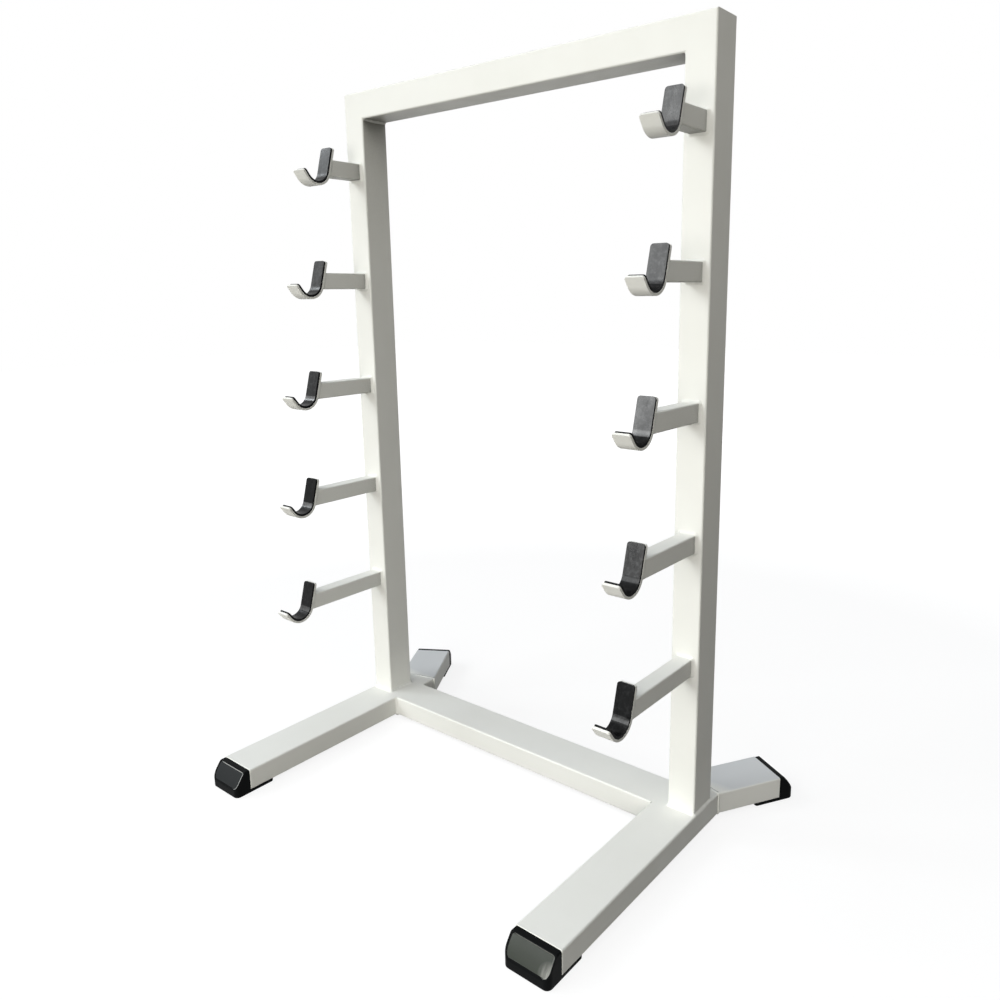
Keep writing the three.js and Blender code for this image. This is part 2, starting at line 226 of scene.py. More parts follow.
def powderCoat(finish, paintedShade):
    s = newShader("whitePowderCoat")
    patch = s.spread(s.noise(*finish["patch"]), 0.0, 1.0)
    colour = s.blend(patch, finish["colour"], finish["thinColour"])
    # painted shade on the tops of the rear legs
    colour = s.blend(paintedLegShade(s, paintedShade), colour, paintedShade["legShadeColour"])
    # painted shade in the inner corners
    colour = s.blend(paintedCornerShade(s, paintedShade), colour, paintedShade["cornerShadeColour"])
    peel = s.bump(s.noise(*finish["peel"]), *finish["peelRelief"])
    return s.coat(finish, colour, s.noise(*finish["sheen"]), peel, IOR=finish["ior"])


rubberFinish = {
    "colour": (0.003, 0.0033, 0.0036, 1),
    "scuffAndSheenColour": (0.060, 0.061, 0.064, 1),
    "scuffAndSheenPerGloss": 2.0,                      # times the gloss, so a glossier back gets more pale grey: scuffs and painted sheen
    "scuffAndSheenSpots": (120.0, 5.0, 0.65), "scuffEdge": (0.47, 0.72),
    "roughness": (0.20, 0.42),
    "specular": 0.12,
    "backSpecular": {                     # set hook by hook: lit and shaded copies of one rubber
        "left": (0.12, 0.10, 0.23, 0.40, 0.32), "right": (0.12, 0.50, 0.68, 0.48, 0.58),
    },
    "bendSpecular": {"left": (0.60, 1.0, 1.0, 0.42, 0.32), "right": (0.4, 0.3, 1.0, 0.5, 0.58)},
    "glossyTurn": 24,                   # degrees into the bend
    "streaks": (60.0, 4.0, 0.6, (1.0, 0.25, 0.25)), "streaksRelief": (0.35, 0.0012),
    "grain": (1500.0, 2.0), "grainRelief": (0.15, 0.0001),
}


def linerRubber(finish, name, specular):
    s = newShader(name)
    streaks = s.noise(*finish["streaks"])
    scuffAndSheenMost = min(1.0, finish["scuffAndSheenPerGloss"] * specular)
    scuffAndSheenSpots = s.spread(s.noise(*finish["scuffAndSheenSpots"]), 0.0, scuffAndSheenMost, *finish["scuffEdge"])
    # pale grey spots: partly scuffs, partly painted sheen where a liner copy is glossier
    colour = s.blend(scuffAndSheenSpots, finish["colour"], finish["scuffAndSheenColour"])
    streaked = s.bump(streaks, *finish["streaksRelief"])
    return s.coat(finish, colour, streaks, streaked, Specular_IOR_Level=specular)


capFinish = {
    "colour": (0.0045, 0.005, 0.0053, 1),
    "specular": 0.03,
    "sheen": (30.0,), "roughness": (0.40, 0.50),
    "grain": (1100.0, 2.0), "grainRelief": (0.1, 0.0001),
}
panelFinish = {
    # colour and specular of the sunk panel, and of the paler edge along its top and one side: the
    # pale edge is a painted highlight, and left and right are lit and shaded copies
    "Panel": {"left": ((0.012, 0.014, 0.015, 1), 0.12), "right": ((0.013, 0.018, 0.011, 1), 0.35)},
    "Edge": {"left": ((0.30, 0.31, 0.30, 1), 0.35), "right": ((0.075, 0.078, 0.070, 1), 0.38)},
    "sheen": (40.0,), "roughness": (0.36, 0.48),
    "grain": (1760.0, 3.0, 0.6), "grainRelief": (0.3, 0.0002),
}
panelPaintedHighlight = {                            # painted highlight, low on the panel of the right front cap
    "place": (0.499, -0.413, 0.029), "reach": 0.023, "colour": (0.36, 0.36, 0.335, 1),
    "streaks": (150.0, 4.0, 0.6, (1.0, 0.2, 0.2)), "strength": (0.3, 1.0),
}


def capPlastic(finish, name, colour, specular, paintedHighlight=None):
    s = newShader(name)
    if paintedHighlight:
        # painted highlight: pale streaks at one spot of a panel
        pale = s.product(
            s.round(paintedHighlight["place"], paintedHighlight["reach"]),
            s.spread(s.noise(*paintedHighlight["streaks"]), *paintedHighlight["strength"]),
        )
        colour = s.blend(pale, colour, paintedHighlight["colour"])
    return s.coat(finish, colour, s.noise(*finish["sheen"]), Specular_IOR_Level=specular)


gapShadowFinish = {
    "colour": (0.022, 0.021, 0.019, 1),
    "paleShadowColour": (0.060, 0.057, 0.050, 1),
    "roughness": (0.7, 0.9),
    "specular": 0.2,
    "grain": (350.0,), "grainRelief": (0.2, 0.0002),
}


def paintedGapShadow(finish):
    # painted shadow: a thin dark strip beside a mitre bead, standing in for the shaded gap there
    s = newShader("paintedGapShadow")
    grain = s.noise(*finish["grain"])
    colour = s.blend(s.spread(grain, 0.0, 1.0), finish["colour"], finish["paleShadowColour"])
    return s.coat(finish, colour, grain, Specular_IOR_Level=finish["specular"])


paint = powderCoat(paintFinish, paintedShadeFinish)
gapShadow = paintedGapShadow(gapShadowFinish)
rubber = linerRubber(rubberFinish, "linerRubber", rubberFinish["specular"])
plastic = capPlastic(capFinish, "capPlastic", capFinish["colour"], capFinish["specular"])
# lit and shaded copies of the panel for the left and right caps, each with a painted highlight
# along its edge
panelPlastic = {
    side: [
        capPlastic(panelFinish, side + "Cap" + part, *panelFinish[part][side], panelPaintedHighlight)
        for part in ("Panel", "Edge")
    ] for side in ("left", "right")
}
for nodeName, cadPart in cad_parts.items():
    cadPart.data.materials.clear()
    finish = rubber if "liner" in nodeName else plastic if "cap" in nodeName else paint
    cadPart.data.materials.append(finish)
print("materials made")


# mesh helpers

def smoothFaces(mesh, creaseDegrees, weldWithin=0.0):
    # creases are kept sharp and everything else is smooth
    work = bmesh.new()
    work.from_mesh(mesh)
    if weldWithin:
        bmesh.ops.remove_doubles(work, verts=work.verts, dist=weldWithin)
    bmesh.ops.recalc_face_normals(work, faces=work.faces)
    crease = math.radians(creaseDegrees)
    for face in work.faces:
        face.smooth = True
    for edge in work.edges:
        edge.smooth = len(edge.link_faces) == 2 and edge.calc_face_angle() < crease
    work.to_mesh(mesh)
    work.free()


def addPiece(name, mesh, replaced=()):
    piece = newObject(name, mesh)
    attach(piece, "root")
    if replaced:
        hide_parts(*replaced)
    return piece


def makePiece(name, points, faces, replaced=(), finish=paint, slotName="frame_paint",
              creaseDegrees=32):
    # points in metres
    mesh = bpy.data.meshes.new(name)
    mesh.from_pydata([tuple(p) for p in points], [], faces)
    smoothFaces(mesh, creaseDegrees)
    mesh.materials.append(finish)
    return addPiece(name, mesh, replaced)


def levelShading(piece, weight=90):
    # keeps the flats flat beside narrow roundings
    weighting = piece.modifiers.new("levelShading", "WEIGHTED_NORMAL")
    weighting.keep_sharp = True
    weighting.weight = weight
    return piece


def roundEdges(piece, width, segments=3, degrees=40):
    bevel = piece.modifiers.new("eased edges", "BEVEL")
    bevel.width = width * mm
    bevel.segments = segments
    bevel.limit_method = "ANGLE"
    bevel.angle_limit = math.radians(degrees)
    bevel.miter_outer = "MITER_ARC"
    return piece


def roundedOutline(width, height, radius, steps):
    # anticlockwise, centred, as (across, up)
    points = []
    for quarter, (sx, sy) in enumerate([(1, 1), (-1, 1), (-1, -1), (1, -1)]):
        for step in range(steps + 1):
            angle = (quarter + step / steps) * math.pi / 2
            points.append((
                sx * (width / 2 - radius) + radius * math.cos(angle),
                sy * (height / 2 - radius) + radius * math.sin(angle),
            ))
    return points


def quarterRound(radius, steps):
    # how far a rounded corner stays inside its two straight sides, all along it
    for step in range(steps + 1):
        angle = step / steps * math.pi / 2
        yield radius * (1 - math.cos(angle)), radius * (1 - math.sin(angle))


def tubeOutline(stock, steps=8):
    return roundedOutline(stock["width"], stock["height"], stock["corner"], steps)


def skinLoops(loops, ring=False, capEnds=True):
    # faces between loops of equally many points, each joined to the next
    count = len(loops[0])
    points = [p for loop in loops for p in loop]
    faces = []
    for band in range(len(loops) if ring else len(loops) - 1):
        near, far = band * count, (band + 1) % len(loops) * count
        for i in range(count):
            j = (i + 1) % count
            faces.append((near + i, near + j, far + j, far + i))
    if not ring and capEnds:
        last = (len(loops) - 1) * count
        faces.append(tuple(reversed(range(count))))
        faces.append(tuple(range(last, last + count)))
    return points, faces


# steel tube

tubeFinish = {
    "cornerSteps": 8,
    "easing": 0.8,          # how far a cut end is eased
    "leastBoreCorner": 0.6,
}
frameTube = {"width": 63, "height": 76, "wall": 3, "corner": 4, "span": 1000}
footTube = {"width": 102, "height": 50, "wall": 3, "corner": 4,
            "reach": 471, "outset": 4.5, "setback": 105, "legLength": 162, "splayDegrees": 31}
armTube = {"width": 36, "height": 38, "wall": 2, "corner": 3}

beamLow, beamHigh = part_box("top_beam")
crossLow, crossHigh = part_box("cross_beam")
frontY = beamLow.y / mm                  # front faces of the uprights
beamTop = beamHigh.z / mm
footTop = crossHigh.z / mm
footBottom = crossLow.z / mm
middleY = frontY + frameTube["height"] / 2
uprightX = (frameTube["span"] - frameTube["width"]) / 2
sides = {"left": -1, "right": 1}


def tube(name, stock, place, start, end, replaced, easeStart=False, easeEnd=False):
    # place(a, b, along) gives a point in mm; start and end give how far along, for a and b
    width, height, wall, corner = (stock[k] for k in ("width", "height", "wall", "corner"))
    steps, ease = tubeFinish["cornerSteps"], tubeFinish["easing"]
    outside = roundedOutline(width, height, corner, steps)
    eased = roundedOutline(width - 2 * ease, height - 2 * ease, corner - ease, steps)
    boreCorner = max(corner - wall, tubeFinish["leastBoreCorner"])
    bore = roundedOutline(width - 2 * wall, height - 2 * wall, boreCorner, steps)
    sections = [(eased, start, 0.0), (outside, start, ease)] if easeStart else [
        (outside, start, 0.0)]
    sections += [(outside, end, -ease), (eased, end, 0.0)] if easeEnd else [(outside, end, 0.0)]
    sections += [(bore, end, 0.0), (bore, start, 0.0)]
    points, faces = skinLoops([
        [Vector(place(a, b, limit(a, b) + step)) * mm for a, b in outline]
        for outline, limit, step in sections
    ], ring=True)
    levelShading(makePiece(name, points, faces, replaced))


def makeHoop():
    # two uprights and the beam, mitred and ground flush at both top corners
    beamZ = beamTop - frameTube["width"] / 2
    for side, s in sides.items():
        tube(
            side + "Upright", frameTube,
            lambda a, b, z, s=s: (s * uprightX + a, middleY + b, z),
            lambda a, b: footTop, lambda a, b, s=s: beamZ + s * a,
            [side + "_upright"],
        )
    tube(
        "topBeam", frameTube, lambda a, b, x: (x, middleY + b, beamZ + a),
        lambda a, b: -uprightX - a, lambda a, b: uprightX + a, ["top_beam"],
    )


def makeCrossBeam():
    reach = footX - footTube["width"]
    tube(
        "crossBeam", footTube, lambda a, b, x: (x, middleY + a, footZ + b),
        lambda a, b: -reach, lambda a, b: reach, ["cross_beam"],
    )


splay = math.radians(footTube["splayDegrees"])
footHalf = footTube["width"] / 2
footX = frameTube["span"] / 2 + footTube["outset"]      # outer sides of the feet
footMiddle = footX - footHalf
footZ = (footTop + footBottom) / 2
mitre = splay / 2
mitreSlope = math.tan(mitre)
mitreRun = footHalf * mitreSlope
mitreY = frontY + footTube["setback"]


def legPoint(s, across, along, z):
    # along a splayed leg from its mitre, and across it from its outer side
    return (
        s * (footX + along * math.sin(splay) - across * math.cos(splay)),
        mitreY + along * math.cos(splay) + across * math.sin(splay),
        z,
    )


def makeFeet():
    for side, s in sides.items():
        tube(
            side + "FrontFoot", footTube,
            lambda a, b, y, s=s: (s * (footMiddle + a), y, footZ + b),
            lambda a, b: frontY - footTube["reach"],
            lambda a, b: mitreY + mitreRun - a * mitreSlope,
            [side + "_front_foot"], easeStart=True,
        )
        tube(
            side + "RearLeg", footTube,
            lambda a, b, y, s=s: legPoint(s, footHalf - a, y, footZ + b),
            lambda a, b: -mitreRun + a * mitreSlope, lambda a, b: footTube["legLength"],
            [side + "_rear_leg"], easeEnd=True,
        )


makeHoop()
makeCrossBeam()
makeFeet()
print("tubes made")


# bent hooks and their liners

bentHook = {
    "width": 38, "thickness": 5, "bendRadius": 33, "backRise": 47, "drop": 42, "lipLength": 20,
    "backCorner": 6, "lipCorner": 5, "tiltDegrees": 15, "lipDegrees": 53,
    "bendSteps": 32, "cornerSteps": 8, "edgeRadius": 1.6,
}
linerStrip = {
    "thickness": 5, "inset": 0.5, "lipInset": 1.8, "glueGap": 0.15, "edgeRadius": 1.1,
    "acrossSteps": 10, "straightStep": 4.0,
    "waviness": 0.22, "wavinessScale": 38.0, "seedSteps": (7.3, 3.1),
    "flatTurn": 0.05,          # how far into the bend, in radians, still counts as flat
}
rows = 5
tilt = math.radians(bentHook["tiltDegrees"])
lipTurn = math.pi / 2 + math.radians(bentHook["lipDegrees"])
hookOuter = bentHook["bendRadius"] + bentHook["thickness"]
backBelow = (hookOuter * (math.sin(tilt) - 1) + bentHook["drop"]) / math.cos(tilt)


def blankRun(turn):
    return Vector((-math.sin(turn), -math.cos(turn)))


def blankInward(turn):
    return Vector((-math.cos(turn), math.sin(turn)))


bendCentre = blankRun(tilt) * backBelow + blankInward(tilt) * hookOuter


def blankPoint(turn, along, radius):
    # in the hook's own plane, as (y, z) from the arm's middle on the back's rear face
    return bendCentre + blankRun(turn) * along - blankInward(turn) * radius


def blankStations(width, backLength, lipLength, straightStep=None):
    # along the blank, as (turn, how far before or past the bend, width there)
    backCorner, lipCorner = bentHook["backCorner"], bentHook["lipCorner"]
    steps = bentHook["cornerSteps"]
    stations = [(tilt, near - backLength, width - 2 * aside)
                for near, aside in quarterRound(backCorner, steps)]
    if straightStep:
        rest = backLength - backCorner
        count = int(rest / straightStep)
        stations += [(tilt, -rest * (1 - i / count), width) for i in range(1, count)]
    for step in range(bentHook["bendSteps"] + 1):
        turn = tilt + (lipTurn - tilt) * step / bentHook["bendSteps"]
        stations.append((turn, 0.0, width))
    if straightStep:
        rest = lipLength - lipCorner
        count = max(2, int(rest / straightStep))
        stations += [(lipTurn, rest * i / count, width) for i in range(1, count)]
    lip = [(lipTurn, lipLength - near, width - 2 * aside)
           for near, aside in quarterRound(lipCorner, steps)]
    return stations + lip[::-1]


def bentStrip(name, place, stations, outer, inner, acrossSteps, lift, replaced, *look):
    # a bent flat blank; lift(x, along the strip) raises its inner face a little
    loops = []
    travelled = 0.0
    before = None
    for turn, along, width in stations:
        low = blankPoint(turn, along, outer)
        if before is not None:
            travelled += (low - before).length
        before = low
        across = [-width / 2 + width * i / acrossSteps for i in range(acrossSteps + 1)]
        loop = [(x, low) for x in across]
        for x in reversed(across):
            raised = 0 if x in (across[0], across[-1]) else lift(x, travelled)
            loop.append((x, blankPoint(turn, along, inner - raised)))
        loops.append([
            Vector((place[0] + x, place[1] + p.x, place[2] + p.y)) * mm for x, p in loop
        ])
    points, faces = skinLoops(loops, capEnds=False)
    count = len(loops[0])
    last = len(points) - count
    for i in range(acrossSteps):           # both ends, in strips across the thickness
        j = count - 1 - i
        faces.append((i + 1, i, j, j - 1))
        faces.append((last + i, last + i + 1, last + j - 1, last + j))
    return makePiece(name, points, faces, replaced, *look)


def glossyBackCopies(liner, stations, side, row):
    # the flat of the liner and the first of its bend get glossier copies of the rubber, set hook
    # by hook and carrying painted sheen, and all else stays dull
    across = linerStrip["acrossSteps"]
    last = tilt + math.radians(rubberFinish["glossyTurn"])
    for part in ("back", "bend"):
        specular = rubberFinish[part + "Specular"][side][row - 1]
        name = "%sLiner%d%s" % (side, row, part.title())
        liner.data.materials.append(linerRubber(rubberFinish, name, specular))
    turns = [turn for turn, along, width in stations[1:]]
    for band, turn in enumerate(turns):
        if turn <= last:
            for i in range(across + 1, 2 * across + 1):
                face = liner.data.polygons[band * (2 * across + 2) + i]
                face.material_index = 1 if turn < tilt + linerStrip["flatTurn"] else 2


def makeHooks():
    lipLength, backLength = bentHook["lipLength"], backBelow + bentHook["backRise"]
    inset = linerStrip["inset"]
    glued = bentHook["bendRadius"] - linerStrip["glueGap"]
    for side, s in sides.items():
        for row in range(1, rows + 1):
            low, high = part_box("%s_hook_%d" % (side, row))
            place = (
                (low.x + high.x) / 2 / mm,
                high.y / mm - bentHook["backRise"] * math.sin(tilt),
                low.z / mm + bentHook["drop"],
            )
            hookPlaces[side, row] = place
            hook = bentStrip(
                "%sHook%d" % (side, row), place,
                blankStations(bentHook["width"], backLength, lipLength),
                hookOuter, bentHook["bendRadius"], 1, lambda x, u: 0.0,
                ["%s_hook_%d" % (side, row)],
            )
            levelShading(roundEdges(hook, bentHook["edgeRadius"]))
            rowStep, sideStep = linerStrip["seedSteps"]
            seed = Vector((row * rowStep, s * sideStep, 0.0))

            def wave(x, u, seed=seed):
                spot = Vector((x, u, 0.0)) / linerStrip["wavinessScale"] + seed
                return linerStrip["waviness"] * noise.noise(spot)

            stations = blankStations(
                bentHook["width"] - 2 * inset, backLength - inset,
                lipLength - linerStrip["lipInset"], linerStrip["straightStep"],
            )
            liner = bentStrip(
                "%sLiner%d" % (side, row), place, stations,
                glued, glued - linerStrip["thickness"], linerStrip["acrossSteps"], wave,
                ["%s_liner_%d" % (side, row)], rubber, "liner_rubber",
            )
            glossyBackCopies(liner, stations, side, row)
            roundEdges(liner, linerStrip["edgeRadius"])


def makeArms():
    for hook, (x0, y0, z0) in hookPlaces.items():
        tube(
            "%sArm%d" % hook, armTube,
            lambda a, b, y, x0=x0, z0=z0: (x0 + a, y, z0 + b),
            lambda a, b, y0=y0: y0 + b * math.tan(tilt),
            lambda a, b: frontY, ["%s_arm_%d" % hook],
        )


hookPlaces = {}
makeHooks()
makeArms()
print("hooks, liners and arms made")


# moulded foot caps

footCap = {
    "inset": 0.9,              # in from the sides of the tube
    "length": 38, "ledge": 12, "toeHeight": 20, "bulge": 1.6,
    "corner": 12, "edge": 1.2, "backEdge": 0.4, "backGap": 0.02,
    "ledgeEase": 1.5, "toeEase": 3.0, "easeSteps": 6,
    "sideRounding": 4, "sideLevels": 8, "levelsApart": 0.15,
    "bottomRounding": 3, "bottomSteps": 6,
    "backSteps": 3, "sideSteps": 26, "edgeSteps": 5, "stepSteps": 6, "innerSteps": 10,
    "panelRim": 2.4, "panelStep": 2.0, "panelSideStep": 3.4, "panelDepth": 0.9,
    "panelCorner": 6,
    "panelRuns": (0, 0.2, 0.5, 0.9, 1.3, 1.7, 2, 2.7, 3.6, 4.7, 6),   # in from the rim
    "paleSide": 14, "paleTop": 9,      # how far in the panel's edge the painted highlight reaches
    "creaseDegrees": 38, "weldWithin": 0.004,
}
capUnderside = {
    "thickness": 7.7, "length": 62, "corner": 6, "cornerSteps": 8,
    "front": 6.0, "inset": 0.05, "ease": 0.5, "leastCorner": 0.5,
}
capRibs = {
    "length": 30, "clearance": 1.5, "front": 1.5, "corner": 1.0, "cornerSteps": 3,
    "height": 1.2, "width": 2, "spacing": 8, "lead": 4, "slope": 0.4,
}


def capProfile():
    # the front of the cap from the side, as points (out, up) from its ledge to its toe, each
    # with its distance inside the panel's edge
    top = Vector((footCap["ledge"], footTop))
    bottom = Vector((footCap["length"], footCap["toeHeight"]))
    chord = bottom - top
    outward = Vector((-chord.y, chord.x)).normalized()
    radius = (chord.length_squared / 4 + footCap["bulge"] ** 2) / (2 * footCap["bulge"])
    centre = (top + bottom) / 2 + outward * (footCap["bulge"] - radius)
    half = math.asin(chord.length / 2 / radius)
    heading = math.atan2(outward.y, outward.x)

    def slopeAt(run):
        angle = heading + half - run / radius
        return centre + radius * Vector((math.cos(angle), math.sin(angle)))

    whole = 2 * half * radius
    ledgeEase, toeEase = footCap["ledgeEase"], footCap["toeEase"]

    def eased(start, corner, end):
        for i in range(footCap["easeSteps"]):
            t = i / footCap["easeSteps"]
            yield start * (1 - t) ** 2 + corner * 2 * t * (1 - t) + end * t * t, -1.0

    toe = bottom - Vector((0, toeEase))
    rim, steps = footCap["panelRim"], footCap["innerSteps"]
    ends = [rim + along for along in footCap["panelRuns"]]
    inner = whole - 2 * ends[-1]
    runs = [ledgeEase] + ends + [whole - run for run in ends] + [whole - toeEase]
    runs += [ends[-1] + inner * i / steps for i in range(1, steps)]
    return [
        *eased(top - Vector((ledgeEase, 0)), top, slopeAt(ledgeEase)),
        *((slopeAt(run), min(run, whole - run) - rim) for run in sorted(runs)),
        *eased(slopeAt(whole - toeEase), bottom, toe), (toe, -1.0),
    ]


def panelShare(inward, step):
    # how far the panel has sunk at a distance in from its edge, 0 to 1
    t = min(max(inward / step, 0), 1)
    return t * t * (3 - 2 * t)


def capHalfRing(halfWidth, frontLimit, cornerRadius, cutY, tuck=0.0):
    # right half of a level section, from its back corner round to the middle of its front,
    # as (across, out, panel share); tuck draws the panel's edge in where its corner is round
    edge, backEdge = footCap["edge"], footCap["backEdge"]
    backY = footCap["backGap"] + backEdge

    def arc(x, y, radius, low, high, steps, first=0):
        for i in range(first, steps + 1):
            angle = low + (high - low) * i / steps
            yield x + radius * math.cos(angle), y + radius * math.sin(angle), 0.0

    ring = [*arc(halfWidth - backEdge, backY, backEdge, -math.pi / 2, 0, footCap["backSteps"])]
    arcX, arcY = halfWidth - cornerRadius, frontLimit - cornerRadius
    if cutY - edge <= arcY:
        centreX, turn, straight = halfWidth - edge, 0.0, cutY - edge - backY
    else:
        rise = cutY - edge - arcY
        reach = math.sqrt(max((cornerRadius - edge) ** 2 - rise ** 2, 0))
        centreX, turn, straight = arcX + reach, math.atan2(rise, reach), arcY - backY
    total = straight + cornerRadius * turn
    for i in range(1, footCap["sideSteps"] + 1):
        along = total * i / footCap["sideSteps"]
        angle = max(along - straight, 0) / cornerRadius
        y = backY + min(along, straight) + cornerRadius * math.sin(angle)
        ring.append((arcX + cornerRadius * math.cos(angle), y, 0.0))
    ring += arc(centreX, cutY - edge, edge, turn, math.pi / 2, footCap["edgeSteps"], 1)
    start, step = centreX - footCap["panelRim"] + edge - tuck, footCap["panelSideStep"]
    count = footCap["stepSteps"]
    ring += [(start - step * i / count, cutY, panelShare(i / count, 1)) for i in range(count)]
    inner, count = start - step, footCap["innerSteps"]
    ring += [(inner * (1 - i / count), cutY, 1.0) for i in range(count + 1)]
    return ring


def wholeRing(half):
    return half + [(-x, y, share) for x, y, share in reversed(half[:-1])]


def capNose():
    # everything ahead of the tube, in level sections from the ledge down to the floor
    halfWidth = footHalf - footCap["inset"]
    top = footTop - footCap["inset"]
    profile = [(Vector((p.x, p.y - footCap["inset"])), inward) for p, inward in capProfile()]
    rounding, corner = footCap["sideRounding"], footCap["panelCorner"]
    heights = {p.y: (p.x, inward) for p, inward in profile}
    for i in range(1, footCap["sideLevels"]):
        z = top - rounding + rounding * math.sin(i / footCap["sideLevels"] * math.pi / 2)
        if min(abs(z - known) for known in heights) > footCap["levelsApart"]:
            for (a, inA), (b, inB) in zip(profile, profile[1:]):
                if b.y <= z <= a.y:
                    t = (a.y - z) / (a.y - b.y)
                    heights[z] = (a.x + (b.x - a.x) * t, inA + (inB - inA) * t)
    loops, shares = [], []
    slopeNormal = Vector((footTop - footCap["toeHeight"], footCap["length"] - footCap["ledge"]))
    slopeNormal.normalize()
    for z in sorted(heights, reverse=True):
        cutY, inward = heights[z]
        share = panelShare(inward, footCap["panelStep"])
        bend = min(max(corner - inward, 0), corner)
        over = max(z - (top - rounding), 0)
        hw = halfWidth - rounding + math.sqrt(max(rounding ** 2 - over ** 2, 0))
        tuck = corner - math.sqrt(corner ** 2 - bend ** 2)
        ring = wholeRing(capHalfRing(hw, footCap["length"], footCap["corner"], cutY, tuck))
        loop = []
        for x, y, across in ring:
            sink = footCap["panelDepth"] * share * across
            loop.append(Vector((x, y - slopeNormal.x * sink, z - slopeNormal.y * sink)))
            shares.append(share * across)
        loops.append(loop)
    for inset, z in quarterRound(footCap["bottomRounding"], footCap["bottomSteps"]):
        front = footCap["length"] - inset
        ring = wholeRing(capHalfRing(halfWidth - inset, front, footCap["corner"] - inset, front))
        loops.append([Vector((x, y, z)) for x, y, share in ring])
        shares += [0.0] * len(ring)
    points, faces = skinLoops(loops)
    finish = []
    for face in faces:
        sunk, highest = max(shares[i] for i in face), max(points[i].z for i in face)
        finish.append(capFaceFinish(sunk, highest, points[face[0]].x, halfWidth))
    return points, faces, finish


def capFaceFinish(sunk, highest, x, halfWidth, slack=0.01):
    # 0 the plastic, 1 the sunk panel, 2 the paler edge along its top and one side, a painted
    # highlight
    if sunk <= slack or sunk >= 1 - slack:
        return 0 if sunk <= slack else 1
    aside = x < footCap["paleSide"] - halfWidth and highest > footCap["toeHeight"]
    pale = footCap["paleTop"]
    return 2 if aside or highest > footTop - pale and x < halfWidth - pale else 0


def capSole():
    # the slab that reaches back under the tube
    sole = capUnderside
    halfWidth = footHalf - footCap["inset"] - sole["inset"]
    length, middle = sole["front"] + sole["length"], (sole["front"] - sole["length"]) / 2
    levels = [(sole["thickness"], sole["ease"]), (sole["thickness"] - sole["ease"], 0.0)]
    for inset, z in quarterRound(footCap["bottomRounding"], footCap["bottomSteps"]):
        levels.append((sole["inset"] + z, inset))
    loops = []
    for z, inset in levels:
        outline = roundedOutline(
            2 * (halfWidth - inset), length - 2 * inset,
            max(sole["corner"] - inset, sole["leastCorner"]), sole["cornerSteps"],
        )
        loops.append([Vector((x, y + middle, z)) for x, y in outline])
    return skinLoops(loops)


def capPlug():
    # the ribbed part that is pressed into the tube
    plug = capRibs
    stops = [(-plug["length"], 0.0)]
    rib = plug["lead"] - plug["length"]
    while rib + plug["width"] < 0:
        end = rib + plug["width"]
        stops += [(rib, 0.0), (rib + plug["slope"], plug["height"]),
                  (end - plug["slope"], plug["height"]), (end, 0.0)]
        rib += plug["spacing"]
    stops.append((plug["front"], 0.0))
    loops = []
    for y, proud in stops:
        room = 2 * (footTube["wall"] + plug["clearance"] - proud)
        outline = roundedOutline(footTube["width"] - room, footTube["height"] - room,
                                 plug["corner"], plug["cornerSteps"])
        loops.append([Vector((x, y, footZ + z)) for x, z in outline])
    return skinLoops(loops)


def makeCaps():
    points, faces, finish = capNose()
    for morePoints, moreFaces in (capSole(), capPlug()):
        start = len(points)
        points += morePoints
        faces += [tuple(i + start for i in face) for face in moreFaces]
        finish += [0] * len(moreFaces)
    mesh = bpy.data.meshes.new("footCap")
    mesh.from_pydata([tuple(p * mm) for p in points], [], faces)
    for polygon, index in zip(mesh.polygons, finish):
        polygon.material_index = index
    smoothFaces(mesh, footCap["creaseDegrees"], footCap["weldWithin"] * mm)
    mesh.materials.append(plastic)
    for side, s in sides.items():
        ends = {
            "front": ((s * footMiddle, frontY - footTube["reach"], 0), math.pi),
            "rear": (legPoint(s, footHalf, footTube["legLength"], 0), -s * splay),
        }
        for end, (spot, turn) in ends.items():
            placed = mesh.copy()
            for finish in panelPlastic[side]:
                placed.materials.append(finish)
            spot = Vector(spot) * mm
            placed.transform(Matrix.Translation(spot) @ Matrix.Rotation(turn, 4, "Z"))
            name = "%s%sCap" % (side, end.title())
            levelShading(addPiece(name, placed, ["%s_%s_cap" % (side, end)]))


makeCaps()
print("foot caps made")


# welds

weldLook = {
    "spacing": 1.0,            # between sections of a bead
    "pitch": 3.6,              # from ripple to ripple
    "ripple": 0.22, "lean": 0.4,
    "wander": 0.16,            # how much the width of a bead varies, as a share
    "wanderLength": 9.0, "closingSteps": 12,
    "sink": 0.8, "heel": -0.5,      # how deep and how far in a bead is rooted
    "toeShare": 0.98, "hollowShare": 0.1, "bulgeShare": 0.7,
    "profileSteps": 7, "creaseDegrees": 70, "phases": (0, 100),
}
uprightWeld = {"leg": 5.0, "outerLeg": 3.6, "riseShare": 0.1, "outerSink": 0.8, "seed": 11}
armWeld = {"leg": 4.6, "seed": 20, "sidesApart": 10, "cornerSteps": 6}
hookWeld = {"leg": 3.2, "sideLeg": 0.85, "underLeg": 0.6, "sink": 0.5, "seed": 50}
crossWeld = {"leg": 4.2, "seed": 31, "topStarts": 5, "topEnds": 13}
crossSeam = {
    "face": [(-0.6, -0.08), (1.5, 0.05), (3.0, 0.03), (4.6, -0.06)],
    "root": [(4.2, -1.2), (0.2, -4.5), (-0.6, -1.2)],
    "overlap": 0.5, "lift": 0.10, "liftLength": 5.0, "liftSpread": 4.0,
}
cornerWeld = {
    "frontLeg": 2.2, "backLeg": 5.0, "growth": 26, "endsShort": 2.5, "seed": 41,
    "lump": {"left": 1.7, "right": 0.34}, "lumpAt": 3, "lumpWidth": 2.0,
}
mitreWeld = {
    "width": 4.8, "height": 2.6, "topHeight": 1.4, "ripple": 0.15, "fullness": 0.7, "seed": 61,
}
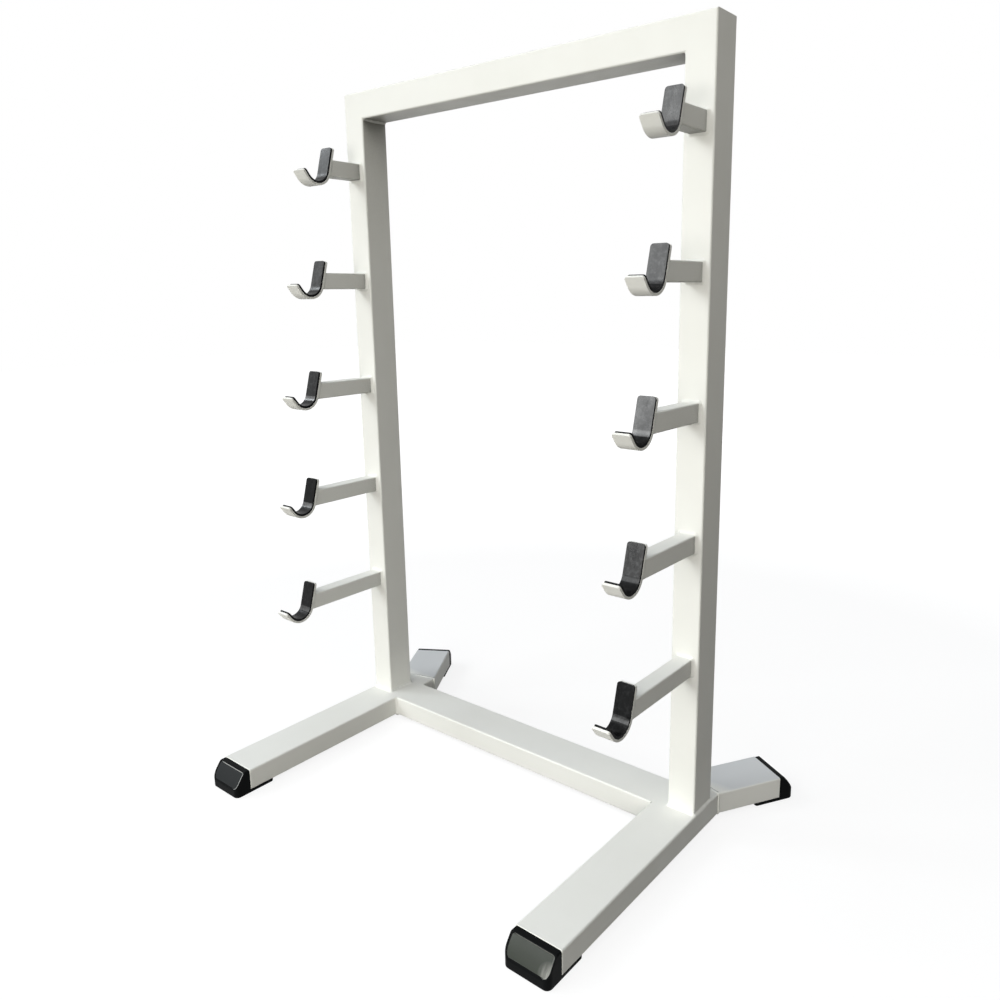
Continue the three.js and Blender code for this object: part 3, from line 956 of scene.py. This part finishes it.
# a thin dark strip that paints the shadow of the gap beside a mitre bead
mitreGap = {"width": 1.4, "tuck": 0.3, "depth": 0.5, "rise": (0.06, 0.05), "seed": 71}


def evenSpine(outline, closed=True, spacing=weldLook["spacing"]):
    # points at even steps along an outline, each with the outline's outward normal
    outline, count = [Vector(p) for p in outline], len(outline)
    normals = []
    for i, here in enumerate(outline):
        before = outline[i - 1] if closed or i else here
        after = outline[(i + 1) % count] if closed or i + 1 < count else here
        run = after - before
        normals.append(Vector((run.y, -run.x)).normalized())
    spine = []
    carry = 0.0
    for i in range(count if closed else count - 1):
        a, b = outline[i], outline[(i + 1) % count]
        length = (b - a).length
        while carry < length:
            t = carry / length
            normal = normals[i].lerp(normals[(i + 1) % count], t).normalized()
            spine.append((a.lerp(b, t), normal))
            carry += spacing
        carry -= length
    return spine


def beadPiece(name, frames, section, seed, closed=True, finish=paint):
    # frames: (point, out, up) along the weld
    # section(frame's number, length so far, size) gives the outline there, as (out, up)
    loops = []
    phase = random.Random(seed).uniform(*weldLook["phases"])
    start = weldLook["wander"] * noise.noise(Vector((0.0, phase, 0.0)))
    for i, (point, out, up) in enumerate(frames):
        run = i * weldLook["spacing"]
        spot = Vector((run / weldLook["wanderLength"], phase, 0.0))
        wander = weldLook["wander"] * noise.noise(spot)
        if closed:         # both ends of the ring meet
            blendIn = min(1.0, (len(frames) - 1 - i) / weldLook["closingSteps"])
            wander = start + (wander - start) * blendIn
        outline = section(i, run, 1 + wander)
        loops.append([(point + out * a + up * b) * mm for a, b in outline])
    points, faces = skinLoops(loops, ring=closed)
    makePiece(name, points, faces, finish=finish, creaseDegrees=weldLook["creaseDegrees"])


def rippleAt(run, t):
    lean = weldLook["lean"] * (2 * t - 1) ** 2
    return math.cos(2 * math.pi * (run / weldLook["pitch"] + lean))


def filletSection(run, outLeg, upLeg, sink=weldLook["sink"]):
    steps = weldLook["profileSteps"]
    outline = [(weldLook["heel"], -sink), (outLeg * weldLook["toeShare"], -sink)]
    hollow = weldLook["hollowShare"] * min(outLeg, upLeg)
    for k in range(steps + 1):
        t = k / steps
        bulge = (weldLook["ripple"] * rippleAt(run, t) - hollow) * math.sin(math.pi * t)
        bulge *= weldLook["bulgeShare"]
        outline.append((outLeg * (1 - t) + bulge, upLeg * t + bulge))
    return outline + [(weldLook["heel"], upLeg)]


def evenFillet(leg):
    return lambda i, run, size: filletSection(run, leg * size, leg * size)


def makeUprightWelds():
    outline = tubeOutline(frameTube)
    for side, s in sides.items():
        frames = [(
            Vector((s * uprightX + p.x, middleY + p.y, footTop)),
            Vector((n.x, n.y, 0)), Vector((0, 0, 1)),
        ) for p, n in evenSpine(outline)]

        def section(i, run, size, frames=frames, s=s):
            outer = max(frames[i][1].x * s, 0) ** 2
            leg = uprightWeld["leg"] + (uprightWeld["outerLeg"] - uprightWeld["leg"]) * outer
            rise = leg * (1 + uprightWeld["riseShare"] * (1 - outer))
            sink = weldLook["sink"] + uprightWeld["outerSink"] * outer
            return filletSection(run, leg * size, rise * size, sink)

        beadPiece(side + "UprightWeld", frames, section, uprightWeld["seed"] + s)


def makeArmWelds():
    spine = evenSpine(tubeOutline(armTube, armWeld["cornerSteps"]))
    for (side, row), (x0, y0, z0) in hookPlaces.items():
        root = [(Vector((x0 + p.x, frontY, z0 + p.y)), Vector((n.x, 0, n.y)), Vector((0, -1, 0)))
                for p, n in spine]
        seed = row + armWeld["sidesApart"] * sides[side]
        beadPiece("%sArm%dWeld" % (side, row), root, evenFillet(armWeld["leg"]),
                  armWeld["seed"] + seed)
        behind = [(
            Vector((x0 + p.x, y0 + p.y * math.tan(tilt), z0 + p.y)),
            Vector((n.x, n.y * math.sin(tilt), n.y * math.cos(tilt))), Vector((0, 1, 0)),
        ) for p, n in spine]

        def section(i, run, size, spine=spine):
            n = spine[i][1]
            across = abs(n.x) ** 2
            upward = hookWeld["leg"] if n.y > 0 else hookWeld["underLeg"]
            reach = hookWeld["sideLeg"] * across + upward * (1 - across)
            return filletSection(run, reach * size, hookWeld["leg"] * size, hookWeld["sink"])

        beadPiece("%sHook%dWeld" % (side, row), behind, section, hookWeld["seed"] + seed)


def makeCrossWelds():
    reach = footX - footTube["width"]
    outline = tubeOutline(footTube)
    # all but the top, which is filled and ground
    fromTop = outline[crossWeld["topEnds"]:] + outline[:crossWeld["topStarts"]]
    for side, s in sides.items():
        frames = [(
            Vector((s * reach, middleY + p.x, footZ + p.y)),
            Vector((0, n.x, n.y)), Vector((-s, 0, 0)),
        ) for p, n in evenSpine(fromTop, closed=False)]
        beadPiece(side + "CrossBeamWeld", frames, evenFillet(crossWeld["leg"]),
                  crossWeld["seed"] + s, closed=False)
        loops = []
        half = footHalf - footTube["corner"] + crossSeam["overlap"]
        count = int(2 * half)
        for i in range(count + 1):
            y = -half + 2 * half * i / count
            spot = Vector((y / crossSeam["liftLength"], s * crossSeam["liftSpread"], 0.0))
            lift = crossSeam["lift"] * noise.noise(spot)
            section = [(a, b + lift) for a, b in crossSeam["face"]] + crossSeam["root"]
            loops.append([Vector((s * (reach + a), middleY + y, footTop + b)) * mm
                          for a, b in section])
        points, faces = skinLoops(loops)
        makePiece(side + "CrossBeamSeam", points, faces)


def makeCornerWelds():
    inner = frameTube["span"] / 2 - frameTube["width"]
    underside = beamTop - frameTube["width"]
    start = frontY + cornerWeld["endsShort"]
    length = frameTube["height"] - 2 * cornerWeld["endsShort"]
    count = int(length / weldLook["spacing"])
    for side, s in sides.items():
        frames = [(
            Vector((s * inner, start + length * i / count, underside)),
            Vector((-s, 0, 0)), Vector((0, 0, -1)),
        ) for i in range(count + 1)]

        def section(i, run, size, lump=cornerWeld["lump"][side]):
            front, back = cornerWeld["frontLeg"], cornerWeld["backLeg"]
            away = (run - cornerWeld["lumpAt"]) / cornerWeld["lumpWidth"]
            leg = front + (back - front) * min(run / cornerWeld["growth"], 1)
            leg += lump * math.exp(-away ** 2)
            return filletSection(run, leg * size, leg * size)

        beadPiece(side + "CornerWeld", frames, section, cornerWeld["seed"] + s, closed=False)


def makeMitreWelds():
    outline = tubeOutline(footTube)
    for side, s in sides.items():
        plane = Vector((s * math.cos(mitre), -math.sin(mitre), 0))
        across = Vector((s * math.sin(mitre), math.cos(mitre), 0))
        frames = [(
            Vector((s * (footMiddle + p.x), mitreY + mitreRun - p.x * mitreSlope, footZ + p.y)),
            across, (plane * n.x + Vector((0, 0, 1)) * n.y).normalized(),
        ) for p, n in evenSpine(outline)]

        def section(i, run, size, frames=frames):
            top = max(frames[i][2].z, 0) ** 2
            height = mitreWeld["height"] + (mitreWeld["topHeight"] - mitreWeld["height"]) * top
            half = mitreWeld["width"] / 2 * size
            points = [(half, -weldLook["sink"]), (-half, -weldLook["sink"])]
            steps = weldLook["profileSteps"] + 1
            for k in range(steps + 1):
                t = k / steps
                rise = height + mitreWeld["ripple"] * rippleAt(run, t)
                rise *= math.sin(math.pi * t) ** mitreWeld["fullness"]
                points.append((-half + 2 * half * t, rise))
            return points

        def gapLine(i, run, size):
            near = mitreWeld["width"] / 2 - mitreGap["tuck"]
            far = near + mitreGap["width"] * size
            nearRise, farRise = mitreGap["rise"]
            return [(near, -mitreGap["depth"]), (near, nearRise), (far, farRise),
                    (far, -mitreGap["depth"])]

        beadPiece(side + "MitreWeld", frames, section, mitreWeld["seed"] + s)
        # painted shadow of the gap beside the bead
        beadPiece(side + "MitreGap", frames, gapLine, mitreGap["seed"] + s, finish=gapShadow)


makeUprightWelds()
makeArmWelds()
makeCrossWelds()
makeCornerWelds()
makeMitreWelds()
print("welds made")


# studio

studio = {
    "floorHalf": 14.0,
    "floorShade": (0.20, 0.20, 0.20, 1),      # takes the shadows that the camera sees
    "floorGlow": (1.0, 0.84),                 # far from the rack and near it
    "floorGlowRadius": 3.2, "floorGlowEdge": (0.0, 0.45),
    "floorBounce": (0.210, 0.198, 0.178, 1),  # what the object is lit by from below
    "darkBounce": (0.03, 0.028, 0.026, 1),    # the same beside the right foot
    "darkBounceAt": (1.3, 0.3, 0.0), "darkBounceRadius": 1.9, "darkBounceEdge": (0.0, 0.5),
    "skyLow": (1.0, 0.95, 0.86, 1),
    "skyHigh": (0.90, 0.97, 1.08, 1),
    "skyStrength": (0.05, 1.10),              # at the horizon and overhead
    "skyPower": 2.0,
    "skyDim": {"X": (0.97, 1.0), "Y": (0.9, 0.7)},  # how much of it is missing, and by where
    "glossDim": 0.95,                         # how dark the room's right side is to a gloss
    "glossFloor": (0.5, 0.9), "glossSky": (0.1, 0.4), "glossRise": (0.0, 0.15),
    "lamps": {
        "keySoftbox": {
            "at": (-4.14, -6.38, 4.9), "to": (0, 0, 0.7), "size": (4.0, 4.7),
            "power": 282, "colour": (0.98, 1.0, 1.0),
        },
        "frontFill": {
            "at": (0.95, -3.7, 0.9), "to": (0, 0, -1.1), "size": (3.4, 1.5),
            "power": 93, "colour": (1.0, 0.985, 0.94),
        },
        "windowLight": {
            "at": (-6.56, -3.49, 6.3), "to": (0, 0, 0.7), "size": (2.2, 2.6),
            "power": 190, "colour": (0.90, 0.96, 1.0),
        },
        "sideLight": {
            "at": (3.6, -1.2, 3.2), "to": (0.3, 0, 1.2), "size": (1.5, 1.5),
            "power": 21, "colour": (1.0, 0.97, 0.88),
        },
        "backFill": {
            "at": (-0.3, 5.2, 0.6), "to": (0, 0, 0.7), "size": (3.0, 1.1),
            "power": 28, "colour": (0.96, 0.99, 1.0),
        },
    },
}


def makeFloor(settings):
    half = settings["floorHalf"]
    mesh = bpy.data.meshes.new("studioFloor")
    corners = [(-half, -half, 0), (half, -half, 0), (half, half, 0), (-half, half, 0)]
    mesh.from_pydata(corners, [], [(0, 1, 2, 3)])
    floor = newObject("studioFloor", mesh)
    s = newShader("paleFloor")
    aside = s.round(settings["darkBounceAt"], settings["darkBounceRadius"])
    bounce = s.add("ShaderNodeBsdfDiffuse", Color=s.blend(
        s.spread(aside, 0.0, 1.0, *settings["darkBounceEdge"]),
        settings["floorBounce"], settings["darkBounce"],
    )).outputs["BSDF"]
    shade = s.add("ShaderNodeBsdfDiffuse", Color=settings["floorShade"]).outputs["BSDF"]
    near = s.round((0, 0, 0), settings["floorGlowRadius"])
    across = s.surface("Position")["X"]
    dark = s.spread(across, 0.0, settings["glossDim"], *settings["glossFloor"])
    glow = s.add("ShaderNodeEmission", Color=(1, 1, 1, 1), Strength=s.product(
        s.spread(near, *settings["floorGlow"], *settings["floorGlowEdge"]), unlessGloss(s, dark),
    )).outputs["Emission"]
    seen = s.add("ShaderNodeAddShader", shade, glow).outputs["Shader"]
    mesh.materials.append(s.finish(mixSeen(s, bounce, seen)))


def mixSeen(s, unseen, seen):
    # seen by the camera, and by the rays that a gloss or glass sends on
    path = s.add("ShaderNodeLightPath")
    value = path.outputs["Is Camera Ray"]
    for other in ("Is Glossy Ray", "Is Transmission Ray"):
        value = s.math("MAXIMUM", value, path.outputs[other])
    return s.add("ShaderNodeMixShader", value, unseen, seen).outputs["Shader"]


def unlessGloss(s, dark):
    # 1 for every ray but those that a gloss sends on, which lose the dark share
    gloss = s.add("ShaderNodeLightPath").outputs["Is Glossy Ray"]
    return s.math("SUBTRACT", 1.0, s.product(gloss, dark))


def makeSky(settings):
    world = bpy.data.worlds.new("studioSky")
    bpy.context.scene.world = world
    s = Shader(world)
    heading = s.split(s.add("ShaderNodeTexCoord").outputs["Generated"])
    rise = s.math("POWER", s.math("MAXIMUM", heading["Z"], 0.0), settings["skyPower"])
    strength = s.spread(rise, *settings["skyStrength"], 0.0, 1.0)
    for way, (missing, until) in settings["skyDim"].items():
        strength = s.product(strength, s.spread(heading[way], 1.0, 1 - missing, 0.0, until))
    colour = s.blend(rise, settings["skyLow"], settings["skyHigh"])
    soft = s.add("ShaderNodeBackground", Color=colour, Strength=strength)
    dark = s.product(
        s.spread(heading["X"], 0.0, settings["glossDim"], *settings["glossSky"]),
        s.spread(heading["Z"], 1.0, 0.0, *settings["glossRise"]),
    )
    white = s.add("ShaderNodeBackground", Color=(1, 1, 1, 1), Strength=unlessGloss(s, dark))
    mix = mixSeen(s, soft.outputs["Background"], white.outputs["Background"])
    s.finish(mix, "ShaderNodeOutputWorld")


def hangLamp(name, lamp):
    light = bpy.data.lights.new(name, "AREA")
    light.shape = "RECTANGLE"
    light.size, light.size_y = lamp["size"]
    light.energy = lamp["power"]
    light.color = lamp["colour"]
    holder = newObject(name, light)
    holder.location = lamp["at"]
    aim = Vector(lamp["to"]) - Vector(lamp["at"])
    holder.rotation_euler = aim.to_track_quat("-Z", "Y").to_euler()


makeFloor(studio)
makeSky(studio)
for name, lamp in studio["lamps"].items():
    hangLamp(name, lamp)
print("studio lit")
